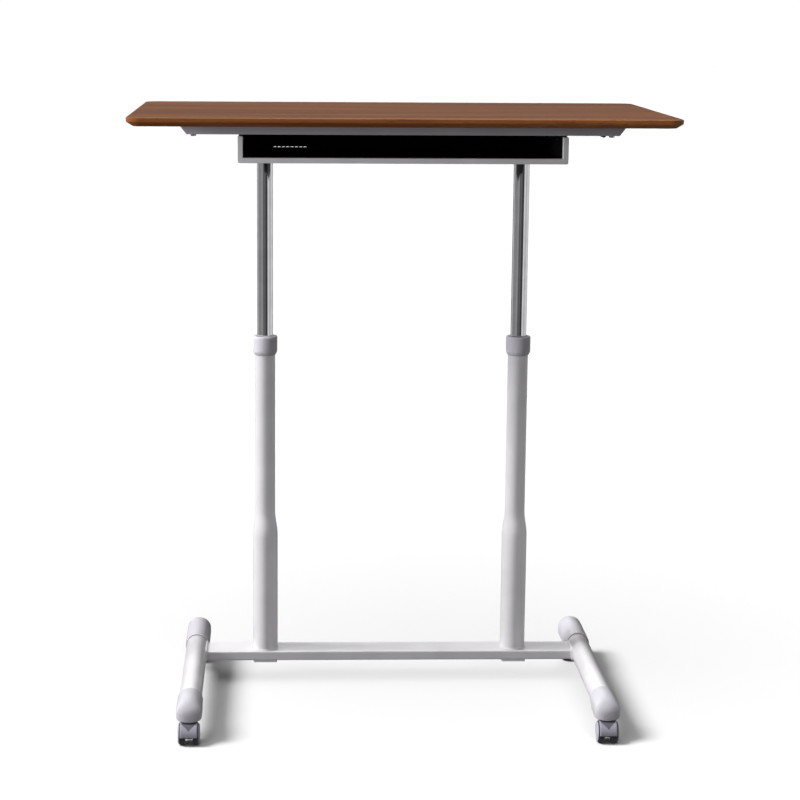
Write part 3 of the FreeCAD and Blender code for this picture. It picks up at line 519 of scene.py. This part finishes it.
def foot_cap(end, side):
    """Hoof-shaped cap: a sleeve at the seam, a full rounded nose and an open underside."""
    node = end + "_foot_cap_" + side
    low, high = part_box(node)
    way = -1 if end == "front" else 1
    seam = high.y if way < 0 else low.y
    length = high.y - low.y
    half = (high.x - low.x) / 2
    axis_z = high.z - half
    centre_x = (low.x + high.x) / 2
    skirt = low.z
    rim = CAP_RIM
    sleeve = CAP_SLEEVE
    nose = CAP_NOSE
    fall = CAP_FALL[end]
    count = 80

    def ring(distance, inset=0.0):
        beyond = max(0.0, distance - (length - nose)) / nose
        width = max(half * (1 - beyond ** 2.6) ** (1 / 2.2), 0.4 * MM) - inset
        drop = max(0.0, distance - (length - fall)) / fall
        crown = axis_z - 6 * MM + (half + 6 * MM) * (1 - drop ** 2.4) ** (1 / 2.1) - inset
        crown = max(crown, rim + 6 * MM)
        blend = smoothstep((distance - sleeve) / (4 * MM))
        bottom = skirt * (1 - blend) + rim * blend
        shoulder = min(axis_z, (crown + bottom) / 2 + 2 * MM)
        square = 2.0 + 5.0 * blend
        points = []
        for k in range(count):
            a = TAU * k / count
            c, s = math.cos(a), math.sin(a)
            power = 2.0 if s >= 0 else square
            x = math.copysign(abs(c) ** (2 / power), c)
            lift = (crown - shoulder) * s if s >= 0 else (shoulder - bottom) * -abs(s) ** (2 / power)
            points.append(Vector((centre_x + width * x, seam + way * distance, shoulder + lift)))
        return points

    stops = [0.0, 0.35 * MM, 1.0 * MM, 2.2 * MM]
    insets = [0.9 * MM, 0.35 * MM, 0.05 * MM, 0.0]
    rings = [ring(d, i) for d, i in zip(stops, insets)]
    straight = length - nose
    steps = int(straight / (3 * MM))
    rings += [ring(2.2 * MM + (straight - 2.2 * MM) * s / steps) for s in range(1, steps + 1)]
    rings += [ring(straight + nose * math.sin(s / 16 * math.pi / 2) * 0.9999) for s in range(1, 17)]
    verts, faces = loft(rings, cap_end=True)

    def opens(face):
        points = [verts[i] for i in face]
        spot = sum(points, Vector()) / len(points)
        distance = (spot.y - seam) * way
        level = max(p.z for p in points) < rim + 0.9 * MM
        return level and abs(spot.x - centre_x) < half - 3 * MM and sleeve + 5 * MM < distance < length - 6 * MM

    faces = [f for f in faces if not opens(f)]
    obj = piece(end + "_cap_" + side, verts, faces, CAP_PLASTIC, "base", [node], smooth=55)
    return thickened(obj, CAP_WALL)


def socket_boss(corner):
    """Boss inside a foot cap that grips the castor socket, with four stiffening ribs."""
    low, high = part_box("caster_spindle_" + corner)
    x = (low.x + high.x) / 2
    y = high.y - STEM_R
    z0 = 43.4 * MM
    z1 = 72 * MM
    profile = [(8.05 * MM, z0), (10.6 * MM, z0), (10.6 * MM, z1), (8.05 * MM, z1)]
    verts, faces = turned(softened(profile, 0.5 * MM), Vector((x, y, 0)), Vector((0, 0, 1)), 48)
    for turn in range(4):
        a = turn * math.pi / 2 + math.pi / 4
        out = Vector((math.cos(a), math.sin(a), 0))
        across = Vector((-out.y, out.x, 0)) * 0.9 * MM
        near = Vector((x, y, 0)) + out * 10.3 * MM
        far = Vector((x, y, 0)) + out * 16 * MM
        base = len(verts)
        for z in (z0 + 3 * MM, z1 - 6 * MM):
            verts += [Vector((p.x, p.y, z)) for p in (near - across, near + across, far + across, far - across)]
        faces += [tuple(base + i for i in f) for f in
                  ((3, 2, 1, 0), (4, 5, 6, 7), (0, 1, 5, 4), (1, 2, 6, 5), (2, 3, 7, 6), (3, 0, 4, 7))]
    return piece("cap_boss_" + corner, verts, faces, CAP_PLASTIC, "base")


# ---- castors ------------------------------------------------------------------------------
FENDER_OUT = 21.6 * MM
FENDER_WALL = 0.75 * MM
FENDER_HALF = 15.8 * MM


def castor_hood(corner):
    node = "caster_hood_" + corner
    body = "caster_" + corner
    wheel = centre_of("caster_wheel_a_" + corner)
    low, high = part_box("caster_spindle_" + corner)
    stem_y = high.y - STEM_R
    middle = Vector(((low.x + high.x) / 2, wheel.y, wheel.z))
    start = -math.asin(2 * MM / FENDER_OUT)
    finish = math.pi - math.asin(7.5 * MM / FENDER_OUT)
    along = 72
    across = 48
    verts = []
    for i in range(along + 1):
        a = start + (finish - start) * i / along
        for j in range(across + 1):
            share = 2 * j / across - 1
            edge = 1.2 * MM * max(0.0, (abs(share) - 0.88) / 0.12) ** 2
            # The fender steps in 0.35 mm under the V-shaped inlay of painted shade.
            under_shade_inlay = abs(share) < 0.80 and math.radians(26 + 40 * abs(share) / 0.80) < a < math.radians(98)
            r = FENDER_OUT - edge - (0.35 * MM if under_shade_inlay else 0.0)
            verts.append(middle + Vector((share * FENDER_HALF, -r * math.cos(a), r * math.sin(a))))
    faces = []
    for i in range(along):
        for j in range(across):
            p = i * (across + 1) + j
            faces.append((p, p + 1, p + across + 2, p + across + 1))
    fender = piece("castor_fender_" + corner, verts, faces, HOOD_PLASTIC, body, [node], smooth=60)
    thickened(fender, FENDER_WALL)

    # V-shaped dark inlay over the hood's top: painted shade where the foot cap shades the hood.
    facet_r = FENDER_OUT - 0.16 * MM
    verts = []
    faces = []
    columns = 24
    rows = 12
    for j in range(columns + 1):
        share = 2 * j / columns - 1
        low_edge = math.radians(26 + 40 * abs(share))
        for i in range(rows + 1):
            a = low_edge + (math.radians(96) - low_edge) * i / rows
            verts.append(middle + Vector((share * 0.80 * FENDER_HALF, -facet_r * math.cos(a), facet_r * math.sin(a))))
    for j in range(columns):
        for i in range(rows):
            p = j * (rows + 1) + i
            faces.append((p, p + 1, p + rows + 2, p + rows + 1))
    piece("castor_facet_" + corner, verts, faces, SHADE_DARK_PLASTIC, body, smooth=60)

    web_r = FENDER_OUT - FENDER_WALL - 0.1 * MM
    outline = []
    front = -math.asin(2 * MM / web_r)
    back = math.pi + math.asin(6 * MM / web_r)
    steps = 48
    for s in range(steps + 1):
        a = front + (back - front) * s / steps
        outline.append((-web_r * math.cos(a), web_r * math.sin(a)))
    outline += [(9 * MM, -7 * MM), (-12 * MM, -7 * MM), (-14 * MM, -3 * MM)]
    half = 6.3 * MM
    rings = [[middle + Vector((x, y, z)) for y, z in outline] for x in (-half, half)]
    verts, faces = loft(rings, cap_start=True, cap_end=True)
    # The web takes the same dark plastic: painted shade of the recess between the wheels.
    web = piece("castor_web_" + corner, verts, faces, SHADE_DARK_PLASTIC, body)
    bevelled(web, 0.6 * MM)

    z_top = 42.3 * MM
    profile = [(4.0 * MM, 33.6 * MM), (5.6 * MM, 33.6 * MM), (8.6 * MM, 38.5 * MM), (8.6 * MM, z_top - 0.8 * MM),
               (7.8 * MM, z_top - 0.3 * MM), (4.0 * MM, z_top - 0.3 * MM)]
    origin = Vector((middle.x, stem_y, 0))
    verts, faces = turned(softened(profile, 0.4 * MM), origin, Vector((0, 0, 1)), 48)
    piece("castor_boss_" + corner, verts, faces, HOOD_PLASTIC, body)


def castor_wheel(corner, letter):
    """Dark tread inside, pale dished disc outside."""
    node = "caster_wheel_" + letter + "_" + corner
    body = "wheel_" + letter + "_" + corner
    low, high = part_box(node)
    middle = centre_of(node)
    way = -1 if letter == "a" else 1
    inner_x = high.x if way < 0 else low.x
    origin = Vector((inner_x, middle.y, middle.z))
    axis = Vector((way, 0, 0))
    big = (high.z - low.z) / 2
    wide = high.x - low.x
    tread_end = wide - 1.6 * MM
    groove = 0.25 * MM
    tread = [(3.1 * MM, 0), (big - 1.2 * MM, 0), (big - 0.3 * MM, 0.4 * MM), (big, 1.3 * MM),
             (big, tread_end * 0.5 - groove), (big - groove, tread_end * 0.5), (big, tread_end * 0.5 + groove),
             (big, tread_end - 2.2 * MM), (big - 0.8 * MM, tread_end - 0.8 * MM), (big - 2.2 * MM, tread_end),
             (3.1 * MM, tread_end)]
    verts, faces = turned(softened(tread, 0.35 * MM, 2), origin, axis, 80)
    piece("castor_tread_" + letter + "_" + corner, verts, faces, TREAD, body, [node], smooth=50)
    rim = big - 1.9 * MM
    face_x = wide
    disc = [(3.1 * MM, tread_end - 0.4 * MM), (rim, tread_end - 0.4 * MM), (rim, face_x - 1.0 * MM),
            (rim - 0.9 * MM, face_x - 0.3 * MM), (rim - 2.4 * MM, face_x), (rim - 4.0 * MM, face_x),
            (rim - 4.8 * MM, face_x - 0.8 * MM), (8.4 * MM, face_x - 1.0 * MM), (7.4 * MM, face_x - 0.3 * MM),
            (6.6 * MM, face_x), (3.4 * MM, face_x), (2.6 * MM, face_x - 0.5 * MM), (0.02 * MM, face_x - 0.5 * MM),
            (0.02 * MM, face_x - 1.3 * MM), (3.1 * MM, face_x - 1.3 * MM)]
    verts, faces = turned(softened(disc, 0.3 * MM, 2), origin, axis, 80)
    piece("castor_disc_" + letter + "_" + corner, verts, faces, DISC_PLASTIC, body, smooth=50)


# ---- tray, rails and lever ----------------------------------------------------------------


def sheet_outline(points, radius, steps=4):
    """Open line of (u, w) points with rounded bends."""
    out = [Vector(points[0])]
    for before, corner, after in zip(points, points[1:], points[2:]):
        here = Vector(corner)
        a = here + (Vector(before) - here).normalized() * radius
        b = here + (Vector(after) - here).normalized() * radius
        for s in range(steps + 1):
            t = s / steps
            out.append(a * (1 - t) ** 2 + here * 2 * t * (1 - t) + b * t ** 2)
    out.append(Vector(points[-1]))
    return out


def tray_bezel():
    low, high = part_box("tray_bezel")
    width = 9.3 * MM
    rear = high.y
    bend = 1.2 * MM
    outer = [(low.x, high.z), (low.x, low.z), (high.x, low.z), (high.x, high.z)]
    inner = [(low.x + width, high.z), (low.x + width, low.z + width),
             (high.x - width, low.z + width), (high.x - width, high.z)]
    loop_out = sheet_outline(outer, 3 * bend)
    loop_in = sheet_outline(inner, bend)
    ring = []
    for a, b in zip(loop_out, loop_in):
        ring.append((a, b))
    verts = []
    faces = []
    for a, b in ring:
        verts += [Vector((a.x, low.y, a.y)), Vector((b.x, low.y, b.y)),
                  Vector((b.x, rear, b.y)), Vector((a.x, rear, a.y))]
    for i in range(len(ring) - 1):
        p = i * 4
        for k in range(4):
            n = (k + 1) % 4
            faces.append((p + k, p + n, p + 4 + n, p + 4 + k))
    end = (len(ring) - 1) * 4
    faces += [(3, 2, 1, 0), (end, end + 1, end + 2, end + 3)]
    obj = piece("tray_front_frame", verts, faces, BEZEL_GREY, "top", ["tray_bezel"])
    return bevelled(obj, 0.9 * MM, 3, 60)


def release_paddle():
    low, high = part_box("release_lever")
    pin = centre_of("lever_pin")
    lip = 8 * MM
    web = 3.2 * MM
    hub = 4.9 * MM
    outline = []
    for s in range(13):
        a = math.radians(90 + s * 15)
        outline.append((pin.x + hub * math.cos(a), pin.z + hub * math.sin(a)))
    outline.append((pin.x + 3 * MM, pin.z - hub * 0.85))
    outline += [(pin.x + 6 * MM, pin.z - web), (high.x - lip - 1.5 * MM, pin.z - web - 0.3 * MM),
                (high.x - lip, pin.z - web - 2 * MM)]
    for s in range(9):
        a = math.radians(180 + s * 22.5)
        outline.append((high.x - lip / 2 + lip / 2 * math.cos(a), low.z + lip / 2 + lip / 2 * math.sin(a)))
    outline += [(high.x, pin.z - 3 * MM), (high.x - 0.9 * MM, pin.z - 0.9 * MM), (high.x - 3 * MM, pin.z)]
    outline += [(pin.x + 5.5 * MM, pin.z), (pin.x + 3.4 * MM, pin.z + hub * 0.72)]
    rings = [[Vector((x, y, z)) for x, z in outline] for y in (low.y, high.y)]
    verts, faces = loft(rings, cap_start=True, cap_end=True)
    obj = piece("release_paddle", verts, faces, DARK_PLASTIC, "release_lever",
                ["release_lever"], smooth=50)
    return bevelled(obj, 0.5 * MM, 2, 50)


# ---- floor, light and camera --------------------------------------------------------------
# The floor's own light is shaded only by the feet: what ends below this height, this far out.
FEET_TOP = 0.10
FEET_OUT = 0.30


def studio():
    floor_mesh = bpy.data.meshes.new("studio_floor")
    size = 40.0
    floor_mesh.from_pydata([(-size, -size, 0), (size, -size, 0), (size, size, 0), (-size, size, 0)], [],
                           [(0, 1, 2, 3)])
    floor = bpy.data.objects.new("studio_floor", floor_mesh)
    bpy.context.scene.collection.objects.link(floor)
    shader = Shader("pale_floor", Roughness=0.9)
    shader.bsdf.inputs["Base Color"].default_value = (0.70, 0.70, 0.70, 1.0)
    shader.bsdf.inputs["Specular IOR Level"].default_value = 0.0
    floor_mesh.materials.append(shader.material)
    floor.visible_diffuse = False
    floor.visible_glossy = False
    return floor


def light_set(name, members, state="INCLUDE"):
    """Collection that a light uses to choose what it falls on or what shades it."""
    chosen = bpy.data.collections.new(name)
    for obj in members:
        chosen.objects.link(obj)
    for entry in chosen.collection_objects:
        entry.light_linking.link_state = state
    return chosen


def feet():
    """Foot tubes, their caps and the castors."""
    found = []
    for obj in bpy.context.scene.objects:
        if obj.type == "MESH" and obj.name != "studio_floor":
            corners = [obj.matrix_world @ Vector(corner) for corner in obj.bound_box]
            out = abs(sum(c.x for c in corners)) / len(corners)
            if max(c.z for c in corners) < FEET_TOP and out > FEET_OUT:
                found.append(obj)
    return found


def sun(name, azimuth, elevation, strength, softness, receivers=None, blockers=None):
    """Wide soft source, hidden from reflections; azimuth 0 shines from the viewer, -90 from the left."""
    data = bpy.data.lights.new(name, "SUN")
    data.energy = strength * math.pi
    data.angle = math.radians(softness)
    obj = bpy.data.objects.new(name, data)
    turn = math.radians(azimuth)
    rise = math.radians(elevation)
    towards = Vector((math.sin(turn) * math.cos(rise), -math.cos(turn) * math.cos(rise), math.sin(rise)))
    obj.rotation_mode = "QUATERNION"
    obj.rotation_quaternion = towards.to_track_quat("Z", "Y")
    obj.visible_glossy = False
    obj.light_linking.receiver_collection = receivers
    obj.light_linking.blocker_collection = blockers
    bpy.context.scene.collection.objects.link(obj)


def spot(name, place, target, strength, cone, radius, receivers):
    """Soft side light whose cone fades out towards the floor; strength is what reaches the target."""
    data = bpy.data.lights.new(name, "SPOT")
    reach = (Vector(target) - Vector(place)).length
    data.energy = strength * reach ** 2 * 4 * math.pi ** 2
    data.spot_size = math.radians(cone)
    data.spot_blend = 1.0
    data.shadow_soft_size = radius
    obj = bpy.data.objects.new(name, data)
    obj.location = place
    obj.rotation_mode = "QUATERNION"
    obj.rotation_quaternion = (Vector(target) - Vector(place)).to_track_quat("-Z", "Y")
    obj.light_linking.receiver_collection = receivers
    obj.visible_glossy = False
    bpy.context.scene.collection.objects.link(obj)


# Brightness round the horizon as glossy surfaces see it: (turn from the viewer, in degrees, level).
PANELS = [(-180, 0.06), (-150, 0.08), (-135, 0.60), (-105, 0.24), (-60, 0.22), (-38, 0.30), (-22, 0.09),
          (0, 0.12), (14, 0.06), (28, 0.03), (36, 0.04), (42, 0.70), (58, 0.62), (72, 0.42), (100, 0.62),
          (135, 0.65), (150, 0.08), (180, 0.06)]
RAISED_PANELS = [(-180, 1.70), (-150, 1.50), (-110, 0.70), (-40, 0.40), (0, 0.40), (60, 0.35), (120, 0.50),
                 (155, 0.90), (180, 1.70)]


def world_light():
    """White surroundings for the eye and for soft light; studio panels for reflections."""
    world = bpy.data.worlds.new("studio")
    bpy.context.scene.world = world
    world.use_nodes = True
    tree = world.node_tree
    tree.nodes.clear()

    def add(kind, **settings):
        made = tree.nodes.new(kind)
        for key, value in settings.items():
            setattr(made, key, value)
        return made

    out = add("ShaderNodeOutputWorld")
    place = add("ShaderNodeTexCoord")
    split = add("ShaderNodeSeparateXYZ")
    tree.links.new(place.outputs["Generated"], split.inputs[0])
    flip = add("ShaderNodeMath", operation="MULTIPLY")
    flip.inputs[1].default_value = -1.0
    tree.links.new(split.outputs["Y"], flip.inputs[0])
    turn = add("ShaderNodeMath", operation="ARCTAN2")
    tree.links.new(split.outputs["X"], turn.inputs[0])
    tree.links.new(flip.outputs[0], turn.inputs[1])
    share = add("ShaderNodeMapRange")
    share.inputs["From Min"].default_value = -math.pi
    share.inputs["From Max"].default_value = math.pi
    tree.links.new(turn.outputs[0], share.inputs["Value"])

    def round_the_horizon(levels):
        ramp = add("ShaderNodeValToRGB")
        elements = ramp.color_ramp.elements
        while len(elements) < len(levels):
            elements.new(0.5)
        for element, (angle, level) in zip(elements, levels):
            element.position = (angle + 180) / 360
            element.color = (level, level, level, 1.0)
        tree.links.new(share.outputs["Result"], ramp.inputs["Fac"])
        return ramp.outputs["Color"]

    raised = add("ShaderNodeMapRange")
    raised.inputs["From Min"].default_value = 0.22
    raised.inputs["From Max"].default_value = 0.34
    tree.links.new(split.outputs["Z"], raised.inputs["Value"])
    lifted = add("ShaderNodeMix", data_type="RGBA")
    tree.links.new(raised.outputs["Result"], lifted.inputs[MIX_FACTOR])
    tree.links.new(round_the_horizon(PANELS), lifted.inputs[RGBA_A])
    tree.links.new(round_the_horizon(RAISED_PANELS), lifted.inputs[RGBA_B])
    seen = add("ShaderNodeLightPath")
    panels = add("ShaderNodeBackground")
    tree.links.new(lifted.outputs[RGBA_RESULT], panels.inputs["Color"])
    plain = add("ShaderNodeBackground")
    plain.inputs["Color"].default_value = (1.0, 1.0, 1.0, 1.0)
    plain.inputs["Strength"].default_value = 0.17
    soft = add("ShaderNodeMixShader")
    tree.links.new(seen.outputs["Is Glossy Ray"], soft.inputs[0])
    tree.links.new(plain.outputs[0], soft.inputs[1])
    tree.links.new(panels.outputs[0], soft.inputs[2])
    white = add("ShaderNodeBackground")
    white.inputs["Strength"].default_value = 1.05
    white.inputs["Color"].default_value = (1.0, 1.0, 1.0, 1.0)
    final = add("ShaderNodeMixShader")
    tree.links.new(seen.outputs["Is Camera Ray"], final.inputs[0])
    tree.links.new(soft.outputs[0], final.inputs[1])
    tree.links.new(white.outputs[0], final.inputs[2])
    tree.links.new(final.outputs[0], out.inputs["Surface"])


CAMERA_PLACE = (-0.2131, -3.970, 1.3226)
CAMERA_TILT = math.radians(10.556)      # below the horizon
CAMERA_PAN = math.radians(-1.926)       # a little towards the desk
CAMERA_ROLL = math.radians(0.368)
CAMERA_LENS = 97.03
CAMERA_SHIFT = 0.06                     # the desk still stands right of the lens axis


def camera():
    data = bpy.data.cameras.new("photo_view")
    data.sensor_width = 36.0
    data.lens = CAMERA_LENS
    data.shift_x = CAMERA_SHIFT
    data.clip_start = 0.05
    data.clip_end = 200.0
    obj = bpy.data.objects.new("photo_view", data)
    obj.location = CAMERA_PLACE
    obj.rotation_mode = "QUATERNION"
    obj.rotation_quaternion = (Quaternion((0, 0, 1), CAMERA_PAN) @ Quaternion((1, 0, 0), math.pi / 2 - CAMERA_TILT)
                               @ Quaternion((0, 0, 1), CAMERA_ROLL))
    bpy.context.scene.collection.objects.link(obj)
    bpy.context.scene.camera = obj


dress_cad_nodes()
desktop()
tray_bezel()
release_paddle()
for side in SIDES:
    column(side)
    collar(side)
    sliding_tube(side)
    foot_tube(side)
    weld_bead(side)
    for end in ("front", "rear"):
        foot_cap(end, side)
for corner in CORNERS:
    socket_boss(corner)
    castor_hood(corner)
    for letter in "ab":
        castor_wheel(corner, letter)

floor = studio()
world_light()
all_but_floor = light_set("all_but_floor", [floor], "EXCLUDE")
sun("key_soft", -90, 38, 1.15, 15, receivers=all_but_floor)
sun("floor_key", -76, 48, 1.30, 24, receivers=light_set("floor_only", [floor]),
    blockers=light_set("feet", feet()))
sun("fill_soft", -25, 62, 0.40, 60)
spot("side_soft", (-3.2, -1.3, 1.25), (0.0, 0.1, 0.85), 0.88, 42, 0.35, all_but_floor)
camera()
bpy.context.scene.view_settings.view_transform = "Standard"
